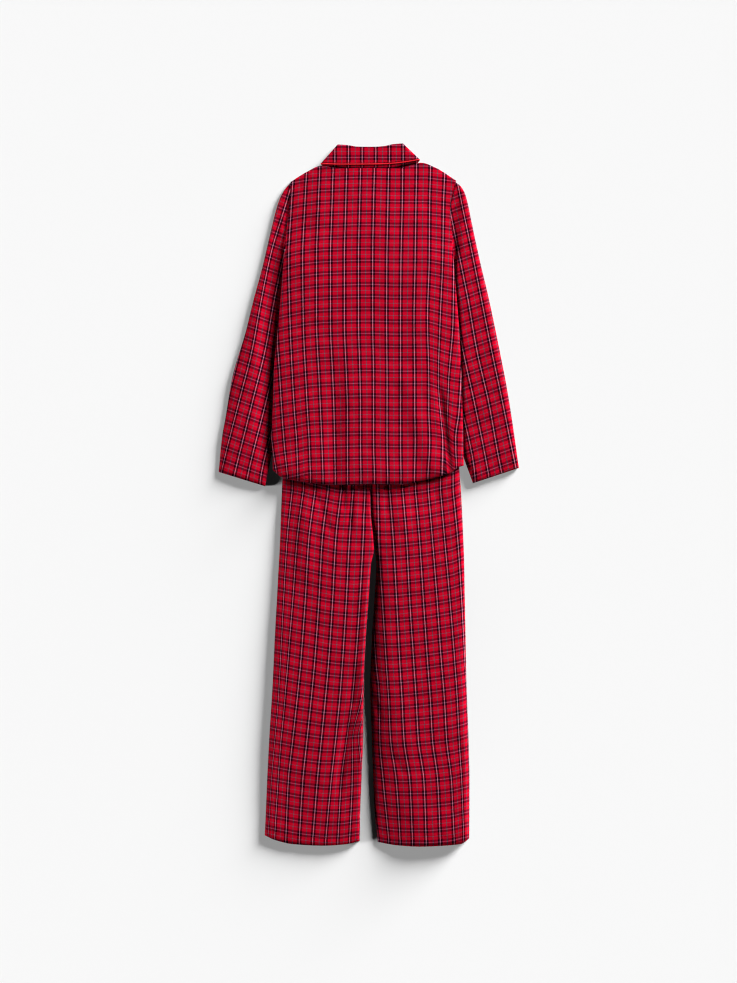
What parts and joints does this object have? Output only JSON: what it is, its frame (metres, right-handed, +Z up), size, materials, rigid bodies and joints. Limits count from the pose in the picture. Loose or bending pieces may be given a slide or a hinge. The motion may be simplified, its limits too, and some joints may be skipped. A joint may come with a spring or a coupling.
{
  "type": "pyjama set",
  "caption": "Long-sleeved checked pyjama shirt with a piped turn-down collar over straight trousers, laid flat on a surface with the back up.",
  "frame": {"origin": "on the surface the set lies on, under the centre of its outline", "axes": "+Y from the trouser hems to the collar, +Z up out of the surface, +X to the wearer's right, which is the viewer's right from behind"},
  "size_m": [0.6912, 1.6174, 0.0156],
  "materials": {
    "checked_cotton": "brushed cotton flannel, woven in a red, navy and white check, matte with a slight nap",
    "red_piping": "plain bright red cotton piping, matte",
    "red_button": "smooth satin resin"
  },
  "bodies": {
    "root": {"shirt_back": "checked_cotton", "shirt_front_left": "checked_cotton", "shirt_front_right": "checked_cotton", "sleeve_left": "checked_cotton", "sleeve_right": "checked_cotton", "collar_fall": "checked_cotton", "collar_stand": "checked_cotton", "trouser_back_left": "checked_cotton", "trouser_back_right": "checked_cotton", "trouser_front_left": "checked_cotton", "trouser_front_right": "checked_cotton", "waistband": "checked_cotton", "collar_piping": "red_piping", "button_1": "red_button", "button_2": "red_button", "button_3": "red_button", "button_4": "red_button"}
  },
  "joints": []
}
